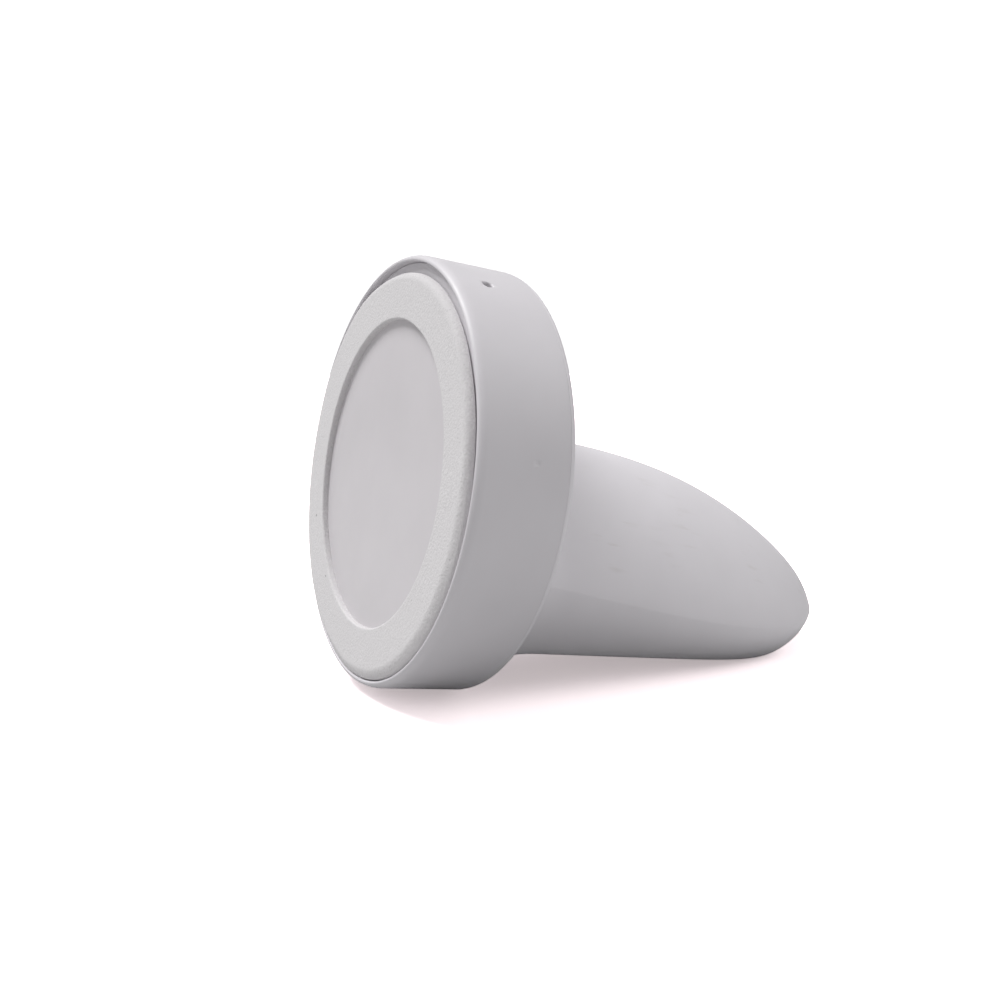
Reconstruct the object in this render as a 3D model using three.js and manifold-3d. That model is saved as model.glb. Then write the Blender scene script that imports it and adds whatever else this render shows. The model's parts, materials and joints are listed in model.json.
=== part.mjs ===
// A magnetic car phone mount: a round charging head that turns on a tongue-shaped arm.
// The mount stands as it lies on a table: on the head's lower rim and the toe of the arm.
// Millimetres, +Z up. The phone side faces -Y. The origin is under the middle of the mount, on the table.
import * as THREE from 'three';
import { mergeVertices } from 'three/addons/utils/BufferGeometryUtils.js';
import Module from 'manifold-3d';

const wasm = await Module();
wasm.setup();

// ---- Driving dimensions. "Depth" is measured along the head's axis, from the phone side to the rear. ----
const headRadius = 30;
const gap = 0.3; // between pieces that would touch
const ringSteps = 44; // facets round a turned piece

const lipDepth = 0.36; // front of the cup's lip
const lipWidth = 0.9;
const cupBackDepth = 12.7;
const cupBackThickness = 1.4;
const cupEdgeRound = 0.4;
const cupWall = 1.2;

const padOuterRadius = 28.15;
const padInnerRadius = 21.5;
const padThickness = 1.15;
const padRound = 1.0; // outer edge
const padInnerRound = 0.25;
const padShift = [-0.23, -0.71]; // x and z: the pad is stuck on slightly off centre

const plateRadius = 28.7;
const plateDepth = 1.4; // the face that the pad is stuck to
const plateBackDepth = 3.0;
const plateEdge = 0.2;

const discRadius = 20.6;
const discDepth = 0.92;
const discThickness = 1.0;

const magnetCount = 16; // places in the ring; the top one is left free for the light
const magnetInnerRadius = 22.8;
const magnetOuterRadius = 27.3;
const magnetDepth = 3.3;
const magnetThickness = 2.1;
const magnetSpacing = 0.4;
const shuntThickness = 0.4;
const carrierWall = 0.6;

const coilInnerRadius = 8;
const coilOuterRadius = 20.6;
const coilThickness = 1.2;
const coilTurns = 6;
const ferriteThickness = 0.8;

const boardRadius = 27;
const boardDepth = 7.4;
const boardThickness = 0.8;
const boardScrewRadius = 17; // where the screws stand, from the axis

const lightAngle = 30; // degrees that the head is turned from level, as it lies
const lightDepth = 5.8;
const pinholeRadius = 0.6;

const boltRadius = 2.5;
const boltHeadRadius = 4.6;
const boltHeadDepth = 8.3;
const boltHeadThickness = 1.8;
const boltEndDepth = 24;
const bushRadius = 4.0;

const neckPlateDepth = 13.0;
const neckPlateThickness = 0.9;
const neckPlateRadius = 29.7;
const neckEdgeRound = 0.5;

const armRootDepth = 13.4;
const armEndDepth = 78.5;
const armHalfWidth = 18.2;
const armTopHeight = 7.8; // above the head's axis, at the root
const armBottomHeight = -22.8;
const creaseRootHeight = -11.3; // the widest line of the arm, at the root
const creaseFall = 0.143; // how fast that line drops towards the end
const creaseLift = 8; // how far it has come up again at the tip
const armFlareRadius = 9; // fillet into the neck plate
const underFlareLoss = 0.75; // share of that fillet that is gone at the flat underneath
const topPower = 1.7; // 1 makes the arm's top round, 2 a parabola with an edge along each side
const underBulge = 1.38; // how much deeper the under-curve would go without the flat
const armWall = 2.4;
const cavityFrontDepth = 17;
const cavityEndDepth = 70;

const openingFrontDepth = 19;
const openingEndDepth = 56;
const openingHalfWidth = 8.6;
const coverThickness = 2.2;
const footPadThickness = 1.0;
const footPadInset = 1.2; // pad edge from the cover's edge
const footPadProud = 0.5;
const topSteps = 16; // facets over the arm's top
const underSteps = 4; // and under each of its edges
const postRadius = 2.6;
const baseScrewPlaces = [[-5, 29], [5, 29], [0, 49]]; // x and depth

// ---- Helpers: meshes to solids and back, and the turned, extruded and lofted shapes ----

// A manifold solid from a closed three.js geometry.
function solid(geometry) {
  const bare = geometry.clone();
  bare.deleteAttribute('normal');
  bare.deleteAttribute('uv');
  const merged = mergeVertices(bare, 1e-4);
  return new wasm.Manifold(new wasm.Mesh({
    numProp: 3,
    vertProperties: new Float32Array(merged.attributes.position.array),
    triVerts: new Uint32Array(merged.index.array),
  }));
}

// A three.js geometry from a manifold solid.
function geometryOf(body) {
  const mesh = body.getMesh();
  const geometry = new THREE.BufferGeometry();
  geometry.setAttribute('position', new THREE.BufferAttribute(new Float32Array(mesh.vertProperties), 3));
  geometry.setIndex(new THREE.BufferAttribute(new Uint32Array(mesh.triVerts), 1));
  geometry.computeVertexNormals();
  return geometry;
}

// A shape turned about the head's axis. The profile is a list of [radius, depth].
function turned(profile, steps = ringSteps) {
  const points = profile.map(([radius, depth]) => new THREE.Vector2(radius, depth));
  const area = points.reduce((sum, p, i) => {
    const q = points[(i + 1) % points.length];
    return sum + p.x * q.y - q.x * p.y;
  }, 0);
  if (area < 0) points.reverse();
  const closed = points[0].x > 1e-6 || points[points.length - 1].x > 1e-6;
  if (closed) points.push(points[0].clone());
  return new THREE.LatheGeometry(points, steps);
}

// A plain washer or disc between two depths.
function ring(innerRadius, outerRadius, frontDepth, backDepth, steps = ringSteps) {
  return turned([
    [innerRadius, frontDepth], [outerRadius, frontDepth], [outerRadius, backDepth], [innerRadius, backDepth],
  ], steps);
}

// Points of a quarter round in a profile, from one angle to another, in degrees.
function arc(radius, depth, round, from, to, steps = 3) {
  return Array.from({ length: steps + 1 }, (_, i) => {
    const angle = THREE.MathUtils.degToRad(from + (to - from) * i / steps);
    return [radius + round * Math.cos(angle), depth + round * Math.sin(angle)];
  });
}

// A round bar along the head's axis, standing at x, z.
function barAlongAxis(radius, frontDepth, backDepth, x = 0, z = 0, steps = 20) {
  const geometry = new THREE.CylinderGeometry(radius, radius, backDepth - frontDepth, steps);
  geometry.translate(x, (frontDepth + backDepth) / 2, z);
  return geometry;
}

// A round upright bar at x and depth y.
function uprightBar(radius, bottom, top, x, y, steps = 16) {
  const geometry = new THREE.CylinderGeometry(radius, radius, top - bottom, steps);
  geometry.rotateX(Math.PI / 2);
  geometry.translate(x, y, (bottom + top) / 2);
  return geometry;
}

// A box from its size and middle.
function block(size, centre) {
  const geometry = new THREE.BoxGeometry(...size);
  geometry.translate(...centre);
  return geometry;
}

// A closed skin over rings of points, every ring with the same count, with flat ends.
function loft(rings) {
  const count = rings[0].length;
  const positions = rings.flat(2);
  const middle = (points) => [0, 1, 2].map((k) => points.reduce((sum, p) => sum + p[k], 0) / count);
  const first = rings.length * count;
  positions.push(...middle(rings[0]), ...middle(rings[rings.length - 1]));
  const index = [];
  for (let r = 0; r < rings.length - 1; r += 1) {
    for (let i = 0; i < count; i += 1) {
      const a = r * count + i;
      const b = r * count + (i + 1) % count;
      index.push(a, a + count, b, b, a + count, b + count);
    }
  }
  const last = (rings.length - 1) * count;
  for (let i = 0; i < count; i += 1) {
    const next = (i + 1) % count;
    index.push(first, i, next);
    index.push(first + 1, last + next, last + i);
  }
  const geometry = new THREE.BufferGeometry();
  geometry.setAttribute('position', new THREE.Float32BufferAttribute(positions, 3));
  geometry.setIndex(index);
  return geometry;
}

// ---- Materials ----

const material = (color, roughness, metalness = 0) =>
  new THREE.MeshStandardMaterial({ color, roughness, metalness });
const whitePlastic = material(0xe4e2e5, 0.55);
const smoothPlastic = material(0xd8d6d8, 0.45);
const foam = material(0xe2e1e2, 0.95);
const innerPlastic = material(0x8d9095, 0.6);
const nickel = material(0xb9bcc0, 0.3, 1);
const steel = material(0x9ea2a6, 0.35, 1);
const copper = material(0xb4703c, 0.4, 1);
const ferrite = material(0x2f3033, 0.7);
const boardGreen = material(0x1f6b45, 0.6);
const blackPlastic = material(0x1b1c1e, 0.5);
const brass = material(0xb08d4a, 0.35, 1);
const clearPlastic = material(0xeef2f4, 0.15);

// The groups: everything lies in `mount`; `head` turns on the axis and is drawn turned by lightAngle.
const mount = new THREE.Group();
const head = new THREE.Group();
const arm = new THREE.Group();
head.rotation.y = THREE.MathUtils.degToRad(lightAngle);
mount.add(head, arm);

function add(group, name, geometry, look) {
  const mesh = new THREE.Mesh(geometry, look);
  mesh.name = name;
  group.add(mesh);
}

// ---- Head: shell, front plate, pad and disc ----

const cupInnerRadius = headRadius - cupWall;
const cupFloorDepth = cupBackDepth - cupBackThickness;
const socketDepth = 9.0; // middle of the power inlet
const socketSize = [8.9, 7.2, 3.2]; // width, length, thickness

function cup() {
  const lipRound = lipWidth / 2;
  const profile = [
    [bushRadius + gap, cupFloorDepth],
    [cupInnerRadius, cupFloorDepth],
    ...arc(headRadius - lipRound, lipDepth + lipRound, lipRound, 180, 360, 6),
    ...arc(headRadius - cupEdgeRound, cupBackDepth - cupEdgeRound, cupEdgeRound, 0, 90, 2),
    [bushRadius + gap, cupBackDepth],
  ];
  let body = solid(turned(profile, 64));
  for (const [x, z] of boardScrewPlaces()) {
    const post = barAlongAxis(2.4, boardDepth + boardThickness + gap, cupFloorDepth + 0.5, x, z);
    const pilot = barAlongAxis(1.2, boardDepth, cupFloorDepth - 0.6, x, z, 12);
    body = body.add(solid(post)).subtract(solid(pilot));
  }
  const pinhole = uprightBar(pinholeRadius, cupInnerRadius - 1, headRadius + 1, 0, lightDepth, 12);
  return body.subtract(solid(pinhole)).subtract(solid(socketSlot()));
}

// Three screws hold the board, on one circle, clear of the inlet at the bottom.
function boardScrewPlaces() {
  return [90, 210, 330].map((degrees) => {
    const angle = THREE.MathUtils.degToRad(degrees);
    return [boardScrewRadius * Math.cos(angle), boardScrewRadius * Math.sin(angle)];
  });
}

// The opening in the cup for the power inlet, with round ends.
function socketSlot() {
  return stadium(socketSize[0] + 2 * gap, socketSize[2] + 2 * gap, 4, [0, socketDepth, -headRadius]);
}

// A block with round ends, standing along Z.
function stadium(width, thickness, length, centre) {
  const half = width / 2 - thickness / 2;
  const shape = new THREE.Shape();
  shape.absarc(half, 0, thickness / 2, -Math.PI / 2, Math.PI / 2, false);
  shape.absarc(-half, 0, thickness / 2, Math.PI / 2, 3 * Math.PI / 2, false);
  const geometry = new THREE.ExtrudeGeometry(shape, { depth: length, bevelEnabled: false, curveSegments: 6 });
  geometry.translate(centre[0], centre[1], centre[2] - length / 2);
  return geometry;
}

// A round plate with a shallow recess for the disc.
function frontPlate() {
  const recessDepth = discDepth + discThickness + gap;
  const recessRadius = discRadius + gap;
  return turned([
    [0, recessDepth],
    [recessRadius, recessDepth],
    [recessRadius, plateDepth],
    [plateRadius - plateEdge, plateDepth],
    [plateRadius, plateDepth + plateEdge],
    [plateRadius, plateBackDepth],
    [0, plateBackDepth],
  ]);
}

function ringPad() {
  const pad = turned([
    [padInnerRadius, padThickness],
    ...arc(padInnerRadius + padInnerRound, padInnerRound, padInnerRound, 180, 270, 2),
    ...arc(padOuterRadius - padRound, padRound, padRound, 270, 360, 4),
    [padOuterRadius, padThickness],
  ], 64);
  pad.translate(padShift[0], 0, padShift[1]);
  return pad;
}

function faceDisc() {
  return turned([
    [0, discDepth],
    [discRadius - 0.2, discDepth],
    [discRadius, discDepth + 0.2],
    [discRadius, discDepth + discThickness],
    [0, discDepth + discThickness],
  ]);
}

add(head, 'head_cup', geometryOf(cup()), whitePlastic);
add(head, 'front_plate', frontPlate(), whitePlastic);
add(head, 'ring_pad', ringPad(), foam);
add(head, 'face_disc', faceDisc(), smoothPlastic);

// ---- Head: magnets, keeper and their carrier ----

const shuntDepth = magnetDepth + magnetThickness + gap;
const carrierFloorDepth = shuntDepth + shuntThickness + gap;

// One magnet: a piece of a ring, straight-sided, centred on an angle from the top.
function magnet(middle, span) {
  const shape = new THREE.Shape();
  shape.absarc(0, 0, magnetOuterRadius, middle - span / 2, middle + span / 2, false);
  shape.absarc(0, 0, magnetInnerRadius, middle + span / 2, middle - span / 2, true);
  const geometry = new THREE.ExtrudeGeometry(shape, {
    depth: magnetThickness, bevelEnabled: false, curveSegments: 4,
  });
  geometry.rotateX(Math.PI / 2);
  geometry.translate(0, magnetDepth + magnetThickness, 0);
  return geometry;
}

function magnetCarrier() {
  const inner = magnetInnerRadius - gap;
  const outer = magnetOuterRadius + gap;
  const channel = solid(turned([
    [inner - carrierWall, magnetDepth],
    [inner, magnetDepth],
    [inner, carrierFloorDepth],
    [outer, carrierFloorDepth],
    [outer, magnetDepth],
    [outer + carrierWall, magnetDepth],
    [outer + carrierWall, carrierFloorDepth + carrierWall],
    [inner - carrierWall, carrierFloorDepth + carrierWall],
  ]));
  return channel.subtract(lightGap());
}

// The room left for the light pipe, at the free place of the magnet ring.
function lightGap() {
  return solid(block([4, 8, 6], [0, lightDepth, 26.5]));
}

add(head, 'magnet_carrier', geometryOf(magnetCarrier()), innerPlastic);
const keeper = solid(ring(magnetInnerRadius, magnetOuterRadius, shuntDepth, shuntDepth + shuntThickness));
add(head, 'shunt_ring', geometryOf(keeper.subtract(lightGap())), steel);
const magnetStep = 2 * Math.PI / magnetCount;
const magnetSpan = magnetStep - magnetSpacing / magnetInnerRadius;
for (let i = 1; i < magnetCount; i += 1) {
  const name = `magnet_${String(i).padStart(2, '0')}`;
  add(head, name, magnet(Math.PI / 2 + i * magnetStep, magnetSpan), nickel);
}

// ---- Head: coil, shield and board ----

const coilBackDepth = magnetDepth + coilThickness;

// A flat coil; each turn is one ridge of its two faces.
function chargingCoil() {
  const pitch = (coilOuterRadius - coilInnerRadius) / coilTurns;
  const groove = 0.2;
  const front = [];
  const back = [];
  for (let turn = 0; turn < coilTurns; turn += 1) {
    const radius = coilInnerRadius + turn * pitch;
    front.push([radius, magnetDepth + groove], [radius + pitch / 2, magnetDepth]);
    back.push([radius, coilBackDepth - groove], [radius + pitch / 2, coilBackDepth]);
  }
  front.push([coilOuterRadius, magnetDepth + groove]);
  back.push([coilOuterRadius, coilBackDepth - groove]);
  return turned([...front, ...back.reverse()], 24);
}

const ferriteDepth = coilBackDepth + gap;
const boardBackDepth = boardDepth + boardThickness;

function circuitBoard() {
  let body = solid(ring(boltHeadRadius + 1.4, boardRadius, boardDepth, boardBackDepth));
  for (const [x, z] of boardScrewPlaces()) {
    body = body.subtract(solid(barAlongAxis(1.5, boardDepth - 1, boardBackDepth + 1, x, z, 12)));
  }
  const notch = block([socketSize[0] + 1, 4, socketSize[1]], [0, boardDepth, -boardRadius + 2.6]);
  return body.subtract(solid(notch));
}

// A pan-head screw along the axis: its head faces the phone side.
function boardScrew(x, z) {
  const headFace = boardDepth - gap - 1.1;
  const screw = turned([
    [0, headFace], [1.9, headFace + 0.3], [1.9, headFace + 1.1], [0.9, headFace + 1.1],
    [0.9, cupFloorDepth - 1], [0, cupFloorDepth - 1],
  ], 16);
  screw.translate(x, 0, z);
  return screw;
}

add(head, 'charging_coil', chargingCoil(), copper);
add(head, 'ferrite_shield', turned([
  [0, ferriteDepth], [coilOuterRadius + 0.7, ferriteDepth],
  [coilOuterRadius + 0.7, ferriteDepth + ferriteThickness], [0, ferriteDepth + ferriteThickness],
]), ferrite);
add(head, 'circuit_board', geometryOf(circuitBoard()), boardGreen);
boardScrewPlaces().forEach(([x, z], i) => add(head, `board_screw_${i + 1}`, boardScrew(x, z), steel));

// Parts on the rear of the board: name, size [x, y, z], place [x, z].
const boardParts = [
  ['control_chip', [6, 0.9, 6], [-13, 6], blackPlastic],
  ['power_inductor', [7, 2.2, 7], [13, 6], blackPlastic],
  ['capacitor_1', [2.2, 1.4, 3.4], [-11, -16], brass],
  ['capacitor_2', [2.2, 1.4, 3.4], [11, -16], brass],
];
for (const [name, size, [x, z], look] of boardParts) {
  add(head, name, block(size, [x, boardBackDepth + gap + size[1] / 2, z]), look);
}

// ---- Head: power inlet, status light and bush ----

const socketMouth = -headRadius + 0.8;
const socketMiddle = socketMouth + socketSize[1] / 2;

// A thin steel sleeve, open at the mouth and closed behind, and the tongue with the contacts inside it.
function socketShell() {
  const skin = 0.3;
  const backWall = 0.8;
  const [width, length, thickness] = socketSize;
  const outer = stadium(width, thickness, length, [0, socketDepth, socketMiddle]);
  const hollow = [0, socketDepth, socketMiddle - backWall];
  const inner = stadium(width - 2 * skin, thickness - 2 * skin, length, hollow);
  return solid(outer).subtract(solid(inner));
}

// The light pipe: a post over the lamp and a thin arm that points at the pinhole.
function lightPipe() {
  const post = barAlongAxis(0.9, lightDepth - 0.9, lightDepth + 0.7, 0, 25.5, 12);
  const pointer = uprightBar(0.35, 25.5, cupInnerRadius - gap, 0, lightDepth, 10);
  return solid(post).add(solid(pointer));
}

add(head, 'usb_socket_shell', geometryOf(socketShell()), steel);
add(head, 'usb_socket_tongue', block([6.4, 0.7, 4.6], [0, socketDepth, socketMouth + 3.2]), blackPlastic);
add(head, 'light_pipe', geometryOf(lightPipe()), clearPlastic);
add(head, 'status_led', block([1.6, 0.4, 0.8], [0, boardDepth - gap - 0.2, 25.5]), clearPlastic);
add(head, 'pivot_bush', ring(
  boltRadius + gap, bushRadius, cupFloorDepth - 0.1, cupBackDepth + 0.1, 32,
), brass);

// ---- Arm: its outer form, as cross-sections along the head's axis ----

const armSpan = armEndDepth - armRootDepth;
const along = (depth) => (depth - armRootDepth) / armSpan;

// Height of the widest line, half the width, and the heights of the top and the underside, at one depth.
function armSection(depth) {
  const t = Math.min(along(depth), 1);
  const crease = creaseRootHeight - creaseFall * (depth - armRootDepth) + creaseLift * t ** 5;
  return {
    crease,
    halfWidth: armHalfWidth * (1 - t ** 6.4) ** 0.6,
    top: crease + (armTopHeight - crease) * (1 - t ** 2.6) ** 0.61,
    bottom: crease + (armBottomHeight - crease) * (1 - t ** 13.4) ** 2.9,
  };
}

// How far the fillet at the neck plate stands out from the arm at one depth.
function flare(depth) {
  const reach = armRootDepth + armFlareRadius - depth;
  return reach > 0 ? armFlareRadius - Math.sqrt(armFlareRadius ** 2 - reach ** 2) : 0;
}

// One ring of points: a roof-like curve over the top, and under it an ellipse that a flat cuts off.
function armRing(depth, grow) {
  const { crease, halfWidth, top, bottom } = armSection(depth);
  const wide = Math.max(halfWidth + grow, 0.05);
  const up = Math.max(top - crease + grow, 0.05);
  const points = [];
  for (let i = 0; i <= topSteps; i += 1) {
    const angle = Math.PI * i / topSteps;
    const rise = Math.abs(Math.sin(angle)) ** topPower;
    points.push([wide * Math.cos(angle), depth, crease + up * rise]);
  }
  const flatAngle = Math.asin(1 / underBulge);
  const underPoint = (i, side) => {
    const angle = flatAngle * i / underSteps;
    const spread = grow > 0 ? grow * (1 - underFlareLoss * i / underSteps) : grow;
    const out = Math.max(halfWidth + spread, 0.05);
    const down = Math.max(crease - bottom + spread, 0.05);
    return [side * out * Math.cos(angle), depth, crease - underBulge * down * Math.sin(angle)];
  };
  for (let i = 1; i <= underSteps; i += 1) points.push(underPoint(i, -1));
  for (let i = underSteps; i >= 1; i -= 1) points.push(underPoint(i, 1));
  return points;
}

// Depths that lie close together at the fillet and at the rounded end.
function armDepths() {
  const depths = [];
  for (let i = 0; i <= 5; i += 1) depths.push(armRootDepth + armFlareRadius * (i / 5) ** 1.5);
  const start = armRootDepth + armFlareRadius;
  const steps = 14;
  for (let i = 1; i <= steps; i += 1) {
    const turn = Math.PI / 2 * i / steps;
    depths.push(start + (armEndDepth - 0.02 - start) * Math.sin(turn));
  }
  return depths;
}

function armForm() {
  const form = solid(loft(armDepths().map((depth) => armRing(depth, flare(depth)))));
  const bound = barAlongAxis(
    neckPlateRadius - 0.1, neckPlateDepth + 0.2, armEndDepth + 1, 0, 0, 2 * ringSteps,
  );
  return form.intersect(solid(bound));
}

function neckPlate() {
  const back = neckPlateDepth + neckPlateThickness;
  return turned([
    [0, neckPlateDepth],
    [neckPlateRadius, neckPlateDepth],
    ...arc(neckPlateRadius - neckEdgeRound, back - neckEdgeRound, neckEdgeRound, 0, 90, 2),
    [0, back],
  ], 2 * ringSteps);
}

// ---- Arm: hollow inside, with posts for the screws of the cover ----

function cavity() {
  const steps = 8;
  const rings = [];
  for (let i = 0; i <= steps; i += 1) {
    const depth = cavityFrontDepth + (cavityEndDepth - cavityFrontDepth) * i / steps;
    rings.push(armRing(depth, -armWall));
  }
  return solid(loft(rings));
}

// The outline of the opening underneath: straight sides and a round end.
function openingOutline(inset) {
  const half = openingHalfWidth - inset;
  const front = openingFrontDepth + inset;
  const shape = new THREE.Shape();
  shape.moveTo(-half, front);
  shape.lineTo(half, front);
  shape.lineTo(half, openingEndDepth - openingHalfWidth);
  shape.absarc(0, openingEndDepth - openingHalfWidth, half, 0, Math.PI, false);
  shape.lineTo(-half, front);
  return shape;
}

function slab(inset, bottom, top) {
  const geometry = new THREE.ExtrudeGeometry(openingOutline(inset), {
    depth: top - bottom, bevelEnabled: false, curveSegments: 10,
  });
  geometry.translate(0, 0, bottom);
  return geometry;
}

// Height of the arm's top skin over a point.
function armTopAt(x, depth) {
  const { crease, halfWidth, top } = armSection(depth);
  return crease + (top - crease) * (1 - (x / halfWidth) ** 2) ** (topPower / 2);
}

const coverTop = armBottomHeight + coverThickness;

function armShell() {
  let body = armForm().add(solid(neckPlate()));
  body = body.subtract(cavity());
  body = body.subtract(solid(slab(0, armBottomHeight - 1, coverTop + 1.5)));
  for (const [x, depth] of baseScrewPlaces) {
    const top = armTopAt(Math.abs(x) + postRadius, depth + postRadius) - armWall / 2;
    body = body.add(solid(uprightBar(postRadius, coverTop + gap, top, x, depth)));
    body = body.subtract(solid(uprightBar(1.2, coverTop - 1, coverTop + 10, x, depth, 12)));
  }
  const boltHole = barAlongAxis(boltRadius + gap, neckPlateDepth - 1, cavityFrontDepth + 1, 0, 0, 24);
  const washerSeat = ring(0.5, 10, neckPlateDepth - 1, neckPlateDepth + 0.8, 32);
  return body.subtract(solid(boltHole)).subtract(solid(washerSeat));
}

add(arm, 'arm_shell', geometryOf(armShell()), whitePlastic);

// ---- Arm: cover, its screws and the sticky pad ----

const padSeat = armBottomHeight + footPadThickness - footPadProud + gap;

function baseCover() {
  let body = solid(slab(gap, armBottomHeight, coverTop));
  body = body.subtract(solid(slab(footPadInset, armBottomHeight - 1, padSeat)));
  for (const [x, depth] of baseScrewPlaces) {
    body = body.subtract(solid(uprightBar(1.5, armBottomHeight - 1, coverTop + 1, x, depth, 12)));
    body = body.subtract(solid(uprightBar(2.6, armBottomHeight - 1, padSeat + 0.7, x, depth)));
  }
  return body;
}

// A thin-headed screw that points up into its post.
function baseScrew(x, depth) {
  const screw = turned([
    [0, 0], [2.2, 0], [2.2, 0.35], [0.9, 0.35], [0.9, 8.5], [0, 8.5],
  ], 16);
  screw.rotateX(Math.PI / 2);
  screw.translate(x, depth, padSeat + 0.05);
  return screw;
}

add(arm, 'base_cover', geometryOf(baseCover()), whitePlastic);
baseScrewPlaces.forEach(([x, depth], i) => add(arm, `base_screw_${i + 1}`, baseScrew(x, depth), steel));
add(arm, 'foot_pad', slab(footPadInset + gap, armBottomHeight - footPadProud, padSeat - gap), foam);

// ---- Pivot: bolt, washers and nut on the head's axis ----

const headBack = boltHeadDepth + boltHeadThickness;
const seatDepth = neckPlateDepth + 0.8;

function pivotBolt() {
  const body = solid(turned([
    [0, boltHeadDepth], [boltHeadRadius - 0.4, boltHeadDepth], [boltHeadRadius, boltHeadDepth + 0.4],
    [boltHeadRadius, headBack], [boltRadius, headBack], [boltRadius, boltEndDepth], [0, boltEndDepth],
  ], 32));
  const hexSocket = barAlongAxis(1.7, boltHeadDepth - 1, boltHeadDepth + 1.1, 0, 0, 6);
  return body.subtract(solid(hexSocket));
}

// A dished spring washer.
function springWasher() {
  const dish = 0.2;
  const thickness = 0.4;
  const front = headBack + gap;
  return turned([
    [boltRadius + gap, front], [6.2, front + dish], [6.2, front + dish + thickness],
    [boltRadius + gap, front + thickness],
  ], 32);
}

const flatWasherThickness = 0.8;
const flatWasherFront = cavityFrontDepth + gap;
const flatWasherBack = flatWasherFront + flatWasherThickness;
const nutFront = flatWasherBack + gap;

function pivotNut() {
  const body = solid(barAlongAxis(4.6, nutFront, nutFront + 4, 0, 0, 6));
  return body.subtract(solid(barAlongAxis(boltRadius + gap, nutFront - 1, nutFront + 5, 0, 0, 24)));
}

add(arm, 'pivot_bolt', geometryOf(pivotBolt()), steel);
add(arm, 'spring_washer', springWasher(), steel);
add(arm, 'friction_washer', ring(5, 9.6, neckPlateDepth, seatDepth - gap, 32), blackPlastic);
add(arm, 'flat_washer', ring(boltRadius + gap, 5, flatWasherFront, flatWasherBack, 32), steel);
add(arm, 'pivot_nut', geometryOf(pivotNut()), steel);

// ---- Resting place: the line from the cup's rear edge that just meets the toe of the arm ----

function restingLean() {
  const angles = armDepths().map((depth) => Math.atan2(
    headRadius + armSection(depth).bottom, depth - (cupBackDepth - cupEdgeRound),
  ));
  return Math.min(...angles.slice(3));
}

mount.rotation.x = -restingLean();
const box = new THREE.Box3().setFromObject(mount, true);
mount.position.set(0, -(box.min.y + box.max.y) / 2, -box.min.z);

export default mount;
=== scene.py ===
"""The looks of a magnetic car phone mount: a round charging head on a tongue-shaped arm.

Outer pieces are rebuilt here as fine meshes that stand for their CAD solids. The hidden inner pieces keep
their CAD shape and get a better material. Lengths are millimetres in the mount's own frame until a mesh
is placed: x across, y the depth behind the phone side along the head's axis, z up from that axis.
"""
import json
import math

import bmesh
import bpy
from mathutils import Matrix, Vector, noise


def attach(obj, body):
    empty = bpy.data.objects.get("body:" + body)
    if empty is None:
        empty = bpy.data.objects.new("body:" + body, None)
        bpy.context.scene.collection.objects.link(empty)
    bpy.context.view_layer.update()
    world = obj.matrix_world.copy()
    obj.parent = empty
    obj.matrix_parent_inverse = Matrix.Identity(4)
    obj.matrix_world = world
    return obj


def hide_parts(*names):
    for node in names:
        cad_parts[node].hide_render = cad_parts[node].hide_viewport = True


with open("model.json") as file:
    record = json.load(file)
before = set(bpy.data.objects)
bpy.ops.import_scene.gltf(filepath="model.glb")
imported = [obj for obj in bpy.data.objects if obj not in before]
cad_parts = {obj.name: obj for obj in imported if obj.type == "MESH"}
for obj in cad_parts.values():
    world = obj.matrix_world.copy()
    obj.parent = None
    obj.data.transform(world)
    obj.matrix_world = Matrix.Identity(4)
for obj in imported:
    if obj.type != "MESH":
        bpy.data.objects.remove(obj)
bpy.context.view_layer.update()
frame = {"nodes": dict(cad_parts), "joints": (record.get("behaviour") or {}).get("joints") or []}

# ---- Dimensions: the CAD's own, but where a comment gives another number for the CAD ----
HEAD_RADIUS = 30.0
GAP = 0.3
LIP_DEPTH = 0.36
LIP_WIDTH = 0.9
LIP_INNER_ROUND = 0.2  # CAD: 0.45, and so is the outer one
LIP_OUTER_STRETCH = 2.0  # CAD: 1. The outer round is this many times as deep as it is wide.
CUP_WALL = 1.2
CUP_BACK_DEPTH = 12.98  # CAD: 12.7, which leaves the head room to turn
CUP_FLOOR_DEPTH = 11.3
CUP_EDGE_ROUND = 0.05  # CAD: 0.4
BUSH_RADIUS = 4.0

PLATE_RADIUS = 29.05  # CAD: 28.7
PLATE_DEPTH = 1.4
PLATE_BACK_DEPTH = 3.0
PAD_OUTER_RADIUS = 28.15
PAD_INNER_RADIUS = 21.5
PAD_THICKNESS = 1.15
PAD_OUTER_ROUND = 1.1  # CAD: 1.0
PAD_INNER_ROUND = 0.3  # CAD: 0.25
PAD_SHIFT = (-0.23, -0.71)  # x and z: the pad is stuck on slightly off centre
PAD_SPREAD = 0.75  # CAD: 0. How far the foam has crept over the lip on the left.
PAD_FOOT = 0.5  # CAD: 0. How far its back has crept out at the bottom.
DISC_RADIUS = 22.3  # CAD: 20.6. Here it reaches under the foam all round.
DISC_DEPTH = 0.92
DISC_THICKNESS = 1.0

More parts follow.
